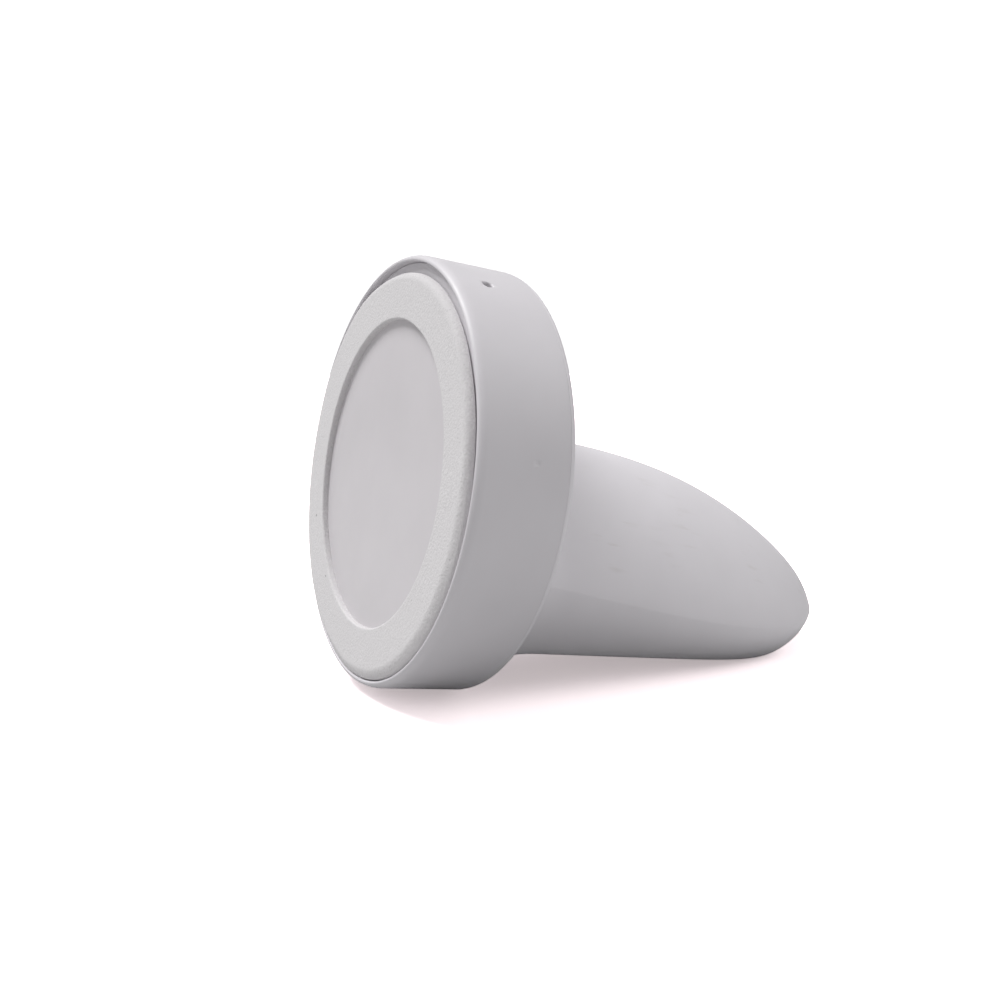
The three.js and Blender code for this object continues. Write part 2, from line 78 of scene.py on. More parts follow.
LIGHT_ANGLE = 30.0  # how far the head is turned from level, towards +X
LIGHT_DEPTH = 5.8
PINHOLE_RADIUS = 0.68  # CAD: 0.6
GATE_MARK_ANGLE = 8.0  # above level, on the right. CAD: no gate mark.
GATE_MARK_DEPTH = 8.3
GATE_MARK_RADIUS = 0.4
GATE_MARK_FORM = ((29.93, 0.3), (29.96, 0.8), (30.1, 1.6))  # distance from the axis, share of the radius
SOCKET_DEPTH = 9.0
SOCKET_WIDTH = 8.9
SOCKET_LENGTH = 7.2
SOCKET_THICKNESS = 3.2
SOCKET_MOUTH = 29.2  # distance of the inlet's mouth from the axis
TONGUE_SIZE = (6.4, 0.7, 4.6)
TONGUE_MIDDLE = 3.2 - SOCKET_MOUTH
CONTACTS = 12  # on each face of the tongue. CAD: no contacts.
CONTACT_PITCH = 0.5
CONTACT_SIZE = (0.26, 0.03, 3.2)

PIVOT_DEPTH = 13.0
NECK_RADIUS = 29.97  # CAD: 29.7
NECK_BACK_DEPTH = 13.9
NECK_EDGE_ROUND = 0.85  # CAD: 0.5
ARM_ROOT_DEPTH = 13.4
ARM_END_DEPTH = 78.5
ARM_HALF_WIDTH = 18.2
ARM_TOP = 7.8
ARM_BOTTOM = -22.8
CREASE_ROOT = -11.3
CREASE_FALL = 0.143
CREASE_LIFT = 8.0
FILLET_END_DEPTH = 22.4
WIDTH_TAPER = (6.4, 0.6)  # the powers that bring the arm's width, top and underside in at the tip
TOP_TAPER = (2.6, 0.61)
UNDER_TAPER = (13.4, 2.9)
UNDER_BULGE = 1.38  # how much deeper the under-curve would go without the flat
UNDER_FLARE_LOSS = 0.75  # share of the neck's fillet that is gone at the flat underneath
TOP_POWER = 1.7  # 1 makes the arm's top round, 2 a parabola with an edge along each side
ARM_WALL = 2.4
CAVITY_DEPTHS = (17.0, 70.0)
OPENING_DEPTHS = (19.0, 56.0)
OPENING_HALF_WIDTH = 8.6
BOLT_HOLE_RADIUS = 2.8
WASHER_SEAT_RADIUS = 10.0
WASHER_SEAT_DEPTH = 0.8
COVER_TOP = ARM_BOTTOM + 2.2
FOOT_PAD_INSET = 1.2
FOOT_PAD_BOTTOM = ARM_BOTTOM - 0.5
PAD_SEAT = ARM_BOTTOM + 0.8
POST_RADIUS = 2.6
SCREW_PILOT_RADIUS = 1.2
SCREW_HOLE_RADIUS = 1.5
SCREW_HEAD_RADIUS = 2.6
SCREW_HEAD_TOP = PAD_SEAT + 0.7
BASE_SCREWS = ((-5.0, 29.0), (5.0, 29.0), (0.0, 49.0))  # x and depth

CAMERA_LENS = 40.32
CAMERA_PLACE = (0.14562, -0.09227, 0.04637)  # metres
CAMERA_HEADING = (-0.88059, 0.45786, -0.12217)
FLOOR_ALBEDO = 0.50
FLOOR_SEEN = (1.6, 1.45, 1.47)  # paler than white, and slightly pink where the shadow falls
FLOOR_GLOW = (1.0, 0.90, 0.915)
FLOOR_GLOW_STRENGTH = 0.42
ROOM_STRENGTH = 0.34
ROOM_SEEN_STRENGTH = 1.1

# ---- The mount's own frame inside the row frame: the joint gives its axis and one point on it ----
joint = frame["joints"][0]
rearward = -Vector(joint["axis"]).normalized()
across = Vector((1, 0, 0))
upward = across.cross(rearward)
origin = Vector(joint["pos_m"]) - rearward * PIVOT_DEPTH * 0.001
PLACE = Matrix.Translation(origin) @ Matrix((across, rearward, upward)).transposed().to_4x4()
PLACE = PLACE @ Matrix.Scale(0.001, 4)
TURN = Matrix.Rotation(math.radians(LIGHT_ANGLE), 4, "Y")


# ---- Mesh helpers ----

def mesh_from_rings(rings, wrap=False):
    """A closed skin over rings of points, all with the same count. It ends in flat caps, or joins up."""
    count = len(rings[0])
    points = [tuple(point) for ring in rings for point in ring]
    steps = [(r, r + 1) for r in range(len(rings) - 1)]
    if wrap:
        steps.append((len(rings) - 1, 0))
    faces = []
    for a, b in steps:
        for i in range(count):
            j = (i + 1) % count
            faces.append((a * count + i, a * count + j, b * count + j, b * count + i))
    if not wrap:
        for r in (0, len(rings) - 1):
            middle = sum((Vector(point) for point in rings[r]), Vector()) / count
            points.append(tuple(middle))
            for i in range(count):
                faces.append((r * count + i, r * count + (i + 1) % count, len(points) - 1))
    mesh = bpy.data.meshes.new("skin")
    mesh.from_pydata(points, [], faces)
    tidy = bmesh.new()
    tidy.from_mesh(mesh)
    bmesh.ops.recalc_face_normals(tidy, faces=tidy.faces)
    tidy.to_mesh(mesh)
    tidy.free()
    return mesh


def arc(radius, depth, size, start, stop, steps=8, stretch=1.0):
    """Points of a round in a profile, between two angles in degrees. It can be stretched in depth."""
    points = []
    for i in range(steps + 1):
        angle = math.radians(start + (stop - start) * i / steps)
        points.append((radius + size * math.cos(angle), depth + size * stretch * math.sin(angle)))
    return points


def circle(radius, segments):
    """Points of a circle, as pairs."""
    points = []
    for i in range(segments):
        angle = 2 * math.pi * i / segments
        points.append((radius * math.cos(angle), radius * math.sin(angle)))
    return points


def turned(profile, segments=320, wrap=True):
    """A profile of (radius, depth) turned about the head's axis."""
    rings = []
    for radius, depth in profile:
        rings.append([(x, depth, z) for x, z in circle(radius, segments)])
    return mesh_from_rings(rings, wrap)


def tool(mesh):
    """An object for cutting or joining, which doesn't stay."""
    piece = bpy.data.objects.new("tool", mesh)
    bpy.context.scene.collection.objects.link(piece)
    return piece


def combine(mesh, steps):
    """Cuts and joins a mesh. Each step is ("DIFFERENCE" or "UNION", mesh of the other shape)."""
    base = tool(mesh)
    others = []
    for operation, other in steps:
        others.append(tool(other))
        modifier = base.modifiers.new("step", "BOOLEAN")
        modifier.operation = operation
        modifier.solver = "EXACT"
        modifier.object = others[-1]
    graph = bpy.context.evaluated_depsgraph_get()
    result = bpy.data.meshes.new_from_object(base.evaluated_get(graph))
    for piece in (base, *others):
        bpy.data.objects.remove(piece)
    return result


def finished(name, mesh, body, look, replaces, turn=False, sharp=35):
    """Places a mesh, gives it its material and body, and lets it stand for a CAD node if one is named."""
    if turn:
        mesh.transform(TURN)
    mesh.transform(PLACE)
    mesh.name = name
    mesh.materials.clear()
    mesh.materials.append(look)
    for polygon in mesh.polygons:
        polygon.use_smooth = True
        polygon.material_index = 0
    mesh.set_sharp_from_angle(angle=math.radians(sharp))
    piece = bpy.data.objects.new(name, mesh)
    bpy.context.scene.collection.objects.link(piece)
    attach(piece, body)
    if replaces:
        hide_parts(replaces)
    return piece


# ---- Materials ----

PER_MM = 1000.0  # texture coordinates are metres


class Look:
    """A procedural material in the making: one Principled shader and the nodes that feed it."""

    def __init__(self, name, colour, roughness, metallic=0.0):
        self.material = bpy.data.materials.new(name)
        self.material.use_nodes = True
        self.tree = self.material.node_tree
        self.shader = self.tree.nodes["Principled BSDF"]
        self.set("Base Color", (*colour, 1.0))
        self.set("Roughness", roughness)
        self.set("Metallic", metallic)
        self.place = self.tree.nodes.new("ShaderNodeTexCoord").outputs["Object"]

    def set(self, socket, value):
        self.shader.inputs[socket].default_value = value

    def link(self, output, socket):
        self.tree.links.new(output, socket)

    def grain(self, size, detail=3.0, stretch=(1.0, 1.0, 1.0), offset=(0.0, 0.0, 0.0)):
        """Noise whose lumps are `size` millimetres across."""
        mapping = self.tree.nodes.new("ShaderNodeMapping")
        mapping.inputs["Scale"].default_value = stretch
        mapping.inputs["Location"].default_value = offset
        texture = self.tree.nodes.new("ShaderNodeTexNoise")
        texture.inputs["Scale"].default_value = PER_MM / size
        texture.inputs["Detail"].default_value = detail
        self.link(self.place, mapping.inputs["Vector"])
        self.link(mapping.outputs["Vector"], texture.inputs["Vector"])
        return texture.outputs["Fac"]

    def pits(self, size):
        """Distance to the nearest of scattered points, `size` millimetres apart."""
        texture = self.tree.nodes.new("ShaderNodeTexVoronoi")
        texture.inputs["Scale"].default_value = PER_MM / size
        self.link(self.place, texture.inputs["Vector"])
        return texture.outputs["Distance"]

    def rescale(self, value, low, high, to_low, to_high):
        """A value from one range to another, held inside it."""
        node = self.tree.nodes.new("ShaderNodeMapRange")
        for socket, number in zip(node.inputs[1:5], (low, high, to_low, to_high)):
            socket.default_value = number
        self.link(value, node.inputs[0])
        return node.outputs["Result"]

    def times(self, a, b):
        node = self.tree.nodes.new("ShaderNodeMath")
        node.operation = "MULTIPLY"
        self.link(a, node.inputs[0])
        self.link(b, node.inputs[1])
        return node.outputs["Value"]

    def blend(self, factor, first, second):
        """From the first colour to the second. A colour is three numbers or another node's output."""
        node = self.tree.nodes.new("ShaderNodeMix")
        node.data_type = "RGBA"
        self.link(factor, node.inputs[0])
        for socket, colour in ((node.inputs[6], first), (node.inputs[7], second)):
            if isinstance(colour, tuple):
                socket.default_value = (*colour, 1.0)
            else:
                self.link(colour, socket)
        return node.outputs[2]

    def colour_from(self, output):
        self.link(output, self.shader.inputs["Base Color"])

    def roughness_from(self, value, low, high):
        self.link(self.rescale(value, 0.3, 0.7, low, high), self.shader.inputs["Roughness"])

    def bump(self, height, strength, depth):
        """Relief, `depth` millimetres from low to high. Calls add up."""
        node = self.tree.nodes.new("ShaderNodeBump")
        node.inputs["Strength"].default_value = strength
        node.inputs["Distance"].default_value = depth / PER_MM
        self.link(height, node.inputs["Height"])
        before = self.shader.inputs["Normal"].links
        if before:
            self.link(before[0].from_socket, node.inputs["Normal"])
        self.link(node.outputs["Normal"], self.shader.inputs["Normal"])


def shade(colour, factor):
    return tuple(channel * factor for channel in colour)


PALE = (0.618, 0.598, 0.624)  # the moulded plastic's own colour


def moulded_plastic(name, colour, roughness=0.46, scuffed=False):
    """Satin moulded plastic: a fine grain, faint flow mottling and, if asked for, rub marks."""
    look = Look(name, colour, roughness)
    cloud = look.grain(9.0, 2.0)
    mottling = look.rescale(cloud, 0.3, 0.7, 0.0, 1.0)
    paint = look.blend(mottling, shade(colour, 0.985), shade(colour, 1.015))
    if scuffed:
        # Rub marks run along the arm, in a few patches only.
        streaks = look.rescale(look.grain(0.9, 4.0, (1.0, 0.10, 0.35)), 0.56, 0.72, 0.0, 1.0)
        lumps = look.grain(11.0, 1.0, offset=(0.013, 0.004, 0.009))
        patches = look.rescale(lumps, 0.50, 0.62, 0.0, 0.36)
        paint = look.blend(look.times(streaks, patches), paint, (0.44, 0.40, 0.37))
    look.colour_from(paint)
    fine = look.grain(0.22, 2.0)
    look.roughness_from(look.grain(3.0, 4.0), roughness - 0.03, roughness + 0.05)
    look.bump(fine, 0.35, 0.006)
    look.bump(cloud, 0.5, 0.02)
    return look.material


def soft_foam(name, colour):
    """Closed-cell silicone foam: matt, grainy, with scattered open cells and pits, whose shade is painted
    in as darker spots.
    """
    look = Look(name, colour, 0.92)
    look.set("Specular IOR Level", 0.25)
    look.set("Sheen Weight", 0.25)
    look.set("Sheen Roughness", 0.6)
    grain = look.grain(0.30, 5.0)
    cells = look.pits(0.85)
    # Painted shade: the colour is darkened in the open cells, where shade falls inside them.
    open_cell_shade = look.rescale(cells, 0.06, 0.22, 1.0, 0.0)
    crumbs = look.rescale(grain, 0.35, 0.68, 0.0, 1.0)
    paint = look.blend(crumbs, shade(colour, 0.91), shade(colour, 1.06))
    patch = look.rescale(look.grain(5.0, 2.0), 0.42, 0.66, 0.0, 1.0)
    paint = look.blend(patch, paint, shade(colour, 0.975))
    paint = look.blend(look.times(open_cell_shade, patch), paint, shade(colour, 0.80))
    # Painted shade: sparse dark specks stand for the shade inside small pits in the foam.
    pit_shade = look.rescale(look.pits(7.0), 0.020, 0.036, 1.0, 0.0)
    look.colour_from(look.blend(pit_shade, paint, shade(colour, 0.4)))
    look.bump(grain, 1.0, 0.085)
    look.bump(look.rescale(cells, 0.05, 0.25, 0.0, 1.0), 0.35, 0.04)
    return look.material


def machined_metal(name, colour, roughness, brushed=(1.0, 1.0, 1.0)):
    """Bare or plated metal with fine scratches and slight tarnish."""
    look = Look(name, colour, roughness, 1.0)
    tarnish = look.grain(2.5, 4.0)
    paint = look.blend(look.rescale(tarnish, 0.35, 0.7, 0.0, 1.0), colour, shade(colour, 0.78))
    look.colour_from(paint)
    scratches = look.grain(0.18, 3.0, brushed)
    look.roughness_from(scratches, roughness - 0.06, roughness + 0.12)
    look.bump(scratches, 0.3, 0.006)
    return look.material


def wound_copper():
    """Enamelled copper wire with fine strands and a warm lacquer over them."""
    look = Look("copper_windings", (0.60, 0.27, 0.12), 0.38, 1.0)
    strands = look.grain(0.28, 2.0)
    lacquer = look.rescale(strands, 0.35, 0.65, 0.0, 1.0)
    look.colour_from(look.blend(lacquer, (0.62, 0.29, 0.13), (0.36, 0.13, 0.06)))
    look.set("Coat Weight", 0.5)
    look.set("Coat Roughness", 0.12)
    look.bump(strands, 0.6, 0.03)
    return look.material


def circuit_board():
    """Green solder mask over tracks that show as slightly lighter lanes."""
    look = Look("board_green", (0.02, 0.16, 0.08), 0.35)
    lanes = look.rescale(look.grain(1.6, 1.0, (1.0, 1.0, 0.2)), 0.52, 0.54, 0.0, 1.0)
    look.colour_from(look.blend(lanes, (0.018, 0.15, 0.075), (0.04, 0.23, 0.12)))
    look.set("Coat Weight", 0.6)
    look.set("Coat Roughness", 0.15)
    look.bump(lanes, 0.4, 0.03)
    return look.material


def sintered(name, colour, roughness):
    """Ferrite and moulded package bodies: dark, very finely grained."""
    look = Look(name, colour, roughness)
    grain = look.grain(0.3, 5.0)
    flecks = look.rescale(grain, 0.3, 0.7, 0.0, 1.0)
    look.colour_from(look.blend(flecks, shade(colour, 0.8), shade(colour, 1.35)))
    look.roughness_from(grain, roughness - 0.05, roughness + 0.08)
    look.bump(grain, 0.4, 0.02)
    return look.material


def clear_resin():
    """The clear light guide and lamp: slightly frosted."""
    look = Look("clear_resin", (0.86, 0.90, 0.92), 0.14)
    look.set("Transmission Weight", 0.85)
    look.set("IOR", 1.49)
    haze = look.grain(0.6, 3.0)
    look.roughness_from(haze, 0.10, 0.22)
    look.colour_from(look.blend(haze, (0.84, 0.88, 0.90), (0.93, 0.95, 0.96)))
    return look.material


shell_white = moulded_plastic("shell_white", PALE)
# Painted light: the arm's plastic is a lighter copy of the shell's colour, lifting the shade the head
# casts over the arm. Its rub marks are real wear.
arm_scuffed_painted_lighter = moulded_plastic("arm_scuffed_painted_lighter", shade(PALE, 1.09), scuffed=True)
# Painted light: the front plate's plastic is a lighter copy of the shell's colour, lifting the shade the
# lip casts into its recess.
plate_painted_lighter = moulded_plastic("plate_painted_lighter", shade(PALE, 1.04))
disc_satin = moulded_plastic("disc_satin", (0.615, 0.590, 0.610), 0.34)
foam_white = soft_foam("foam_white", (0.625, 0.608, 0.618))
foot_foam = soft_foam("foot_foam", (0.60, 0.60, 0.61))
grey_plastic = moulded_plastic("grey_plastic", (0.27, 0.28, 0.30), 0.5)
black_plastic = sintered("black_plastic", (0.018, 0.018, 0.020), 0.42)
ferrite_grey = sintered("ferrite_grey", (0.035, 0.036, 0.040), 0.62)
bright_nickel = machined_metal("bright_nickel", (0.62, 0.61, 0.58), 0.24)
plain_steel = machined_metal("plain_steel", (0.50, 0.51, 0.52), 0.34, (1.0, 0.25, 1.0))
yellow_brass = machined_metal("yellow_brass", (0.66, 0.48, 0.20), 0.30)
contact_gold = machined_metal("contact_gold", (0.85, 0.62, 0.24), 0.22)

CAD_LOOKS = {
    "magnet_carrier": grey_plastic,
    "shunt_ring": plain_steel,
    "charging_coil": wound_copper(),
    "ferrite_shield": ferrite_grey,
    "circuit_board": circuit_board(),
    "control_chip": black_plastic,
    "power_inductor": ferrite_grey,
    "capacitor_1": yellow_brass,
    "capacitor_2": yellow_brass,
    "light_pipe": clear_resin(),
    "pivot_bush": yellow_brass,
    "friction_washer": black_plastic,
}
CAD_LOOKS["status_led"] = CAD_LOOKS["light_pipe"]
for node in frame["nodes"]:
    if node.startswith("magnet_") and node != "magnet_carrier":
        CAD_LOOKS[node] = bright_nickel
    elif "screw" in node or node in ("pivot_bolt", "pivot_nut", "spring_washer", "flat_washer"):
        CAD_LOOKS[node] = plain_steel
for node, look in CAD_LOOKS.items():
    data = frame["nodes"][node].data
    data.materials.clear()
    data.materials.append(look)


# ---- Head: cup with its lip, pinhole and inlet slot ----

def bar(radius, start, stop, x=0.0, y=0.0, segments=48):
    """A round upright bar."""
    rings = []
    for height in (start, stop):
        rings.append([(x + a, y + b, height) for a, b in circle(radius, segments)])
    return mesh_from_rings(rings)


def stadium(width, thickness, height, steps=12):
    """A ring of points: a rectangle across x with round ends, at one height."""
    radius = thickness / 2
    reach = width / 2 - radius
    points = []
    for side in (1, -1):
        for i in range(steps + 1):
            angle = side * math.pi / 2 - math.pi * i / steps
            x = side * reach + radius * math.cos(angle)
            points.append((x, SOCKET_DEPTH + radius * math.sin(angle), height))
    return points


def pinhole_tool():
    """A pin that widens in a small round where it leaves the cup's wall, pointing up from the axis."""
    outer = HEAD_RADIUS + 0.03
    rim = 0.3
    profile = [(PINHOLE_RADIUS, HEAD_RADIUS - 3)]
    for i in range(6):
        angle = math.radians(15 * i)
        radius = PINHOLE_RADIUS + rim - rim * math.cos(angle)
        profile.append((radius, outer - rim + rim * math.sin(angle)))
    profile.append((PINHOLE_RADIUS + 2 * rim, HEAD_RADIUS + 1))
    rings = []
    for radius, height in profile:
        rings.append([(x, LIGHT_DEPTH + y, height) for x, y in circle(radius, 48)])
    return mesh_from_rings(rings)


def slot_tool():
    """The inlet's slot, rounded where it leaves the cup's wall, pointing down from the axis."""
    width = SOCKET_WIDTH + 2 * GAP
    thickness = SOCKET_THICKNESS + 2 * GAP
    rim = 0.35
    rings = [stadium(width, thickness, 3 - HEAD_RADIUS)]
    for i in range(6):
        angle = math.radians(15 * i)
        grow = 2 * rim * (1 - math.cos(angle))
        height = -(HEAD_RADIUS + 0.03 - rim + rim * math.sin(angle))
        rings.append(stadium(width + grow, thickness + grow, height))
    rings.append(stadium(width + 4 * rim, thickness + 4 * rim, -HEAD_RADIUS - 1.5))
    bent = []
    for ring in rings:
        bent.append([(x, y, z + HEAD_RADIUS - math.sqrt(HEAD_RADIUS ** 2 - x ** 2)) for x, y, z in ring])
    return mesh_from_rings(bent)


def gate_mark_tool():
    """A shallow dimple where the plastic came into the mould."""
    way = math.radians(LIGHT_ANGLE + GATE_MARK_ANGLE)
    rings = []
    for distance, share in GATE_MARK_FORM:
        ring = []
        for side, back in circle(GATE_MARK_RADIUS * share, 32):
            x = distance * math.cos(way) - side * math.sin(way)
            z = distance * math.sin(way) + side * math.cos(way)
            ring.append((x, GATE_MARK_DEPTH + back, z))
        rings.append(ring)
    return mesh_from_rings(rings)


def head_cup():
    """The cup, with more points along its side than its shape needs, so that its faces stay even."""
    inner = LIP_INNER_ROUND
    outer = LIP_WIDTH - inner
    round_depth = LIP_DEPTH + outer * LIP_OUTER_STRETCH
    profile = [(BUSH_RADIUS + GAP, CUP_FLOOR_DEPTH), (HEAD_RADIUS - CUP_WALL, CUP_FLOOR_DEPTH)]
    profile += arc(HEAD_RADIUS - outer, LIP_DEPTH + inner, inner, 180, 270)
    profile += arc(HEAD_RADIUS - outer, round_depth, outer, 270, 360, 20, LIP_OUTER_STRETCH)
    profile += [(HEAD_RADIUS, 3.0 + 1.5 * i) for i in range(6)]
    profile += arc(HEAD_RADIUS - CUP_EDGE_ROUND, CUP_BACK_DEPTH - CUP_EDGE_ROUND, CUP_EDGE_ROUND, 0, 90)
    profile.append((BUSH_RADIUS + GAP, CUP_BACK_DEPTH))
    body = turned(profile, 480)
    cuts = (pinhole_tool(), slot_tool(), gate_mark_tool())
    return combine(body, [("DIFFERENCE", cut) for cut in cuts])


finished("cup_shell", head_cup(), "head", shell_white, "head_cup", turn=True)


# ---- Head: front plate, disc and soft ring ----

def front_plate():
    """A round plate with a shallow recess for the disc."""
    edge = 0.2
    inner_edge = 0.1
    recess_radius = DISC_RADIUS + 0.1
    recess_depth = DISC_DEPTH + DISC_THICKNESS + GAP
    profile = [
        (0.01, recess_depth),
        (recess_radius, recess_depth),
        *arc(recess_radius + inner_edge, PLATE_DEPTH + inner_edge, inner_edge, 180, 270, 4),
        *arc(PLATE_RADIUS - edge, PLATE_DEPTH + edge, edge, 270, 360, 6),
        (PLATE_RADIUS, PLATE_BACK_DEPTH),
        (0.01, PLATE_BACK_DEPTH),
    ]
    return turned(profile, wrap=False)


def face_disc():
    edge = 0.22
    profile = [
        (0.01, DISC_DEPTH),
        (DISC_RADIUS * 0.5, DISC_DEPTH),
        *arc(DISC_RADIUS - edge, DISC_DEPTH + edge, edge, 270, 360, 6),
        (DISC_RADIUS, DISC_DEPTH + DISC_THICKNESS),
        (0.01, DISC_DEPTH + DISC_THICKNESS),
    ]
    return turned(profile, wrap=False)


def ramp(value, start, length):
    """From 0 at the start to 1 a length further on."""
    return min(max((value - start) / length, 0.0), 1.0)


def settled(x, z, front):
    """How far the foam's outer edge has crept out: over the lip on the left, and at its back below.

    x and z point to a place on the edge from the axis. `front` is 1 at the foam's face and 0 at its back.
    """
    turn = math.radians(LIGHT_ANGLE)
    level = x * math.cos(turn) + z * math.sin(turn)
    height = z * math.cos(turn) - x * math.sin(turn)
    left = ramp(0.1 * height - level, 0.2, 0.55)
    low = ramp(-height, -0.1, 0.4)
    spread = PAD_SPREAD * left * left * (3 - 2 * left)
    foot = PAD_FOOT * low * min(2 * (1 - front), 1.0) * (1 - left)
    return spread + foot


def pad_profile():
    """The section of the foam ring: inner wall, face with many points, round outer edge."""
    profile = [(PAD_INNER_RADIUS, PAD_THICKNESS), (PAD_INNER_RADIUS, 0.8)]
    profile += arc(PAD_INNER_RADIUS + PAD_INNER_ROUND, PAD_INNER_ROUND, PAD_INNER_ROUND, 180, 270, 8)
    flat_start = PAD_INNER_RADIUS + PAD_INNER_ROUND
    flat_end = PAD_OUTER_RADIUS - PAD_OUTER_ROUND
    profile += [(flat_start + (flat_end - flat_start) * i / 20, 0.0) for i in range(1, 20)]
    stretch = PAD_THICKNESS / PAD_OUTER_ROUND
    profile += arc(flat_end, PAD_THICKNESS, PAD_OUTER_ROUND, 270, 360, 18, stretch)
    return profile


def unevenness(x, y, z):
    """How much the cut foam wanders at a point, slowly and finely, each from 0 to 1."""
    slow = 0.5 + 0.5 * noise.noise(Vector((x, 5.0, z)) * 0.16)
    fine = 0.5 + 0.5 * noise.noise(Vector((x, y, z)) * 1.7)
    return slow, fine


def ring_pad():
    """A die-cut foam ring, slightly uneven, stuck on off centre and settled at its outer edge."""
    mesh = turned(pad_profile(), 900)
    middle = (PAD_INNER_RADIUS + PAD_OUTER_RADIUS) / 2
    for vertex in mesh.vertices:
        x, y, z = vertex.co
        radius = math.hypot(x, z)
        front = 1.0 - min(y / PAD_THICKNESS, 1.0)
        slow, fine = unevenness(x, y, z)
        inward = 0.05 * slow + 0.04 * fine
        held = radius + (inward if radius < middle else -inward)
        if radius > middle:
            held += settled(x / radius, z / radius, front)
        depth = y + front * (0.03 * slow + 0.02 * fine)
        vertex.co = (x * held / radius + PAD_SHIFT[0], depth, z * held / radius + PAD_SHIFT[1])
    return mesh


finished("front_plate_skin", front_plate(), "head", plate_painted_lighter, "front_plate")
finished("face_disc_skin", face_disc(), "head", disc_satin, "face_disc")
soft_ring = finished(
    "soft_ring", ring_pad(), "head", foam_white, "ring_pad", turn=True, sharp=60
)


# ---- Head: the power inlet ----

def inlet_sleeve():
    """A drawn steel sleeve with a rolled mouth, closed at the back: each ring is (inset, height)."""
    skin = 0.3
    back = SOCKET_LENGTH - SOCKET_MOUTH
    levels = [(0.25, back), (0.0, back - 0.25)]
    levels += [(0.0, 0.15 - SOCKET_MOUTH), (0.05, 0.04 - SOCKET_MOUTH)]
    levels += [(0.15, 0.0 - SOCKET_MOUTH), (0.25, 0.04 - SOCKET_MOUTH)]
    levels += [(skin, 0.15 - SOCKET_MOUTH), (skin, SOCKET_LENGTH - 0.8 - SOCKET_MOUTH)]
    rings = []
    for inset, height in levels:
        rings.append(stadium(SOCKET_WIDTH - 2 * inset, SOCKET_THICKNESS - 2 * inset, height))
    return mesh_from_rings(rings)


def rounded_block(size, centre, edge):
    """A block with bevelled edges."""
    block = bmesh.new()
    bmesh.ops.create_cube(block, size=1.0)
    for vertex in block.verts:
        vertex.co = [centre[k] + vertex.co[k] * size[k] for k in range(3)]
    bmesh.ops.bevel(block, geom=block.edges[:], offset=edge, segments=3, profile=0.5, affect="EDGES")
    mesh = bpy.data.meshes.new("block")
    block.to_mesh(mesh)
    block.free()
    return mesh


def contact_pads():
    """A row of contacts on each face of the tongue, let into it by two thirds of their thickness."""
    from_middle = 0.345
    height = -26.6
    size = Matrix.Diagonal((*CONTACT_SIZE, 1.0))
    pads = bmesh.new()
    for side in (-1, 1):
        for i in range(CONTACTS):
            x = (i - (CONTACTS - 1) / 2) * CONTACT_PITCH
            place = Matrix.Translation((x, SOCKET_DEPTH + side * from_middle, height))
            bmesh.ops.create_cube(pads, size=1.0, matrix=place @ size)
    mesh = bpy.data.meshes.new("contacts")
    pads.to_mesh(mesh)
    pads.free()
    return mesh


tongue = rounded_block(TONGUE_SIZE, (0.0, SOCKET_DEPTH, TONGUE_MIDDLE), 0.12)
finished("inlet_sleeve", inlet_sleeve(), "head", plain_steel, "usb_socket_shell", turn=True)
finished("inlet_tongue", tongue, "head", black_plastic, "usb_socket_tongue", turn=True)
finished("inlet_contacts", contact_pads(), "head", contact_gold, None, turn=True)


# ---- Arm: a blunt tongue that grows out of a round neck plate ----

def tapered(share, powers):
    """How much of a size is left at a share of the arm's length."""
    start, finish = powers
    return (1 - share ** start) ** finish


def arm_section(depth):
    """Height of the widest line, half the width, and the heights of the top and underside."""
    t = min((depth - ARM_ROOT_DEPTH) / (ARM_END_DEPTH - ARM_ROOT_DEPTH), 1.0)
    crease = CREASE_ROOT - CREASE_FALL * (depth - ARM_ROOT_DEPTH) + CREASE_LIFT * t ** 5
    half_width = ARM_HALF_WIDTH * tapered(t, WIDTH_TAPER)
    top = crease + (ARM_TOP - crease) * tapered(t, TOP_TAPER)
    bottom = crease + (ARM_BOTTOM - crease) * tapered(t, UNDER_TAPER)
    return crease, half_width, top, bottom


def under_curve(sine):
    """The underside's share of its full depth: a deeper curve, cut off flat with a soft edge."""
    soft = 0.12
    curve = UNDER_BULGE * sine
    near = max(soft - abs(curve - 1.0), 0.0) / soft
    return min(curve, 1.0) - near * near * soft / 4


def arm_ring(depth, grow, steps=112):
    """One ring of points round the arm. A fillet (grow over zero) fades out underneath."""
    crease, half_width, top, bottom = arm_section(depth)
    points = []
    for i in range(2 * steps):
        angle = math.pi * i / steps
        sine = math.sin(angle)
        spread = grow
        if grow > 0 > sine:
            spread *= 1 - UNDER_FLARE_LOSS * min(UNDER_BULGE * -sine, 1.0)
        wide = max(half_width + spread, 0.02)
        if sine >= 0:
            height = max(top - crease + spread, 0.02) * sine ** TOP_POWER
        else:
            height = -max(crease - bottom + spread, 0.02) * under_curve(-sine)
        points.append((wide * math.cos(angle), depth, crease + height))
    return points


def held_within(point, limit):
    """The point, drawn softly towards the axis where it would stand out past the neck plate."""
    x, y, z = point
    radius = math.hypot(x, z)
    soft = 0.5
    near = max(soft - abs(radius - limit), 0.0) / soft
    held = min(radius, limit) - near * near * soft / 4
    return (x * held / radius, y, z * held / radius)


def neck_fillet(steps=24):
    """Rings of the fillet, from the back of the neck plate to the plain arm."""
    fillet = FILLET_END_DEPTH - NECK_BACK_DEPTH
    limit = NECK_RADIUS - NECK_EDGE_ROUND - 0.02
    rings = []
    for i in range(steps + 1):
        turn = math.radians(90 * i / steps)
        depth = FILLET_END_DEPTH - fillet * math.cos(turn)
        flare = fillet * (1 - math.sin(turn))
        rings.append([held_within(point, limit) for point in arm_ring(depth, flare)])
    return rings


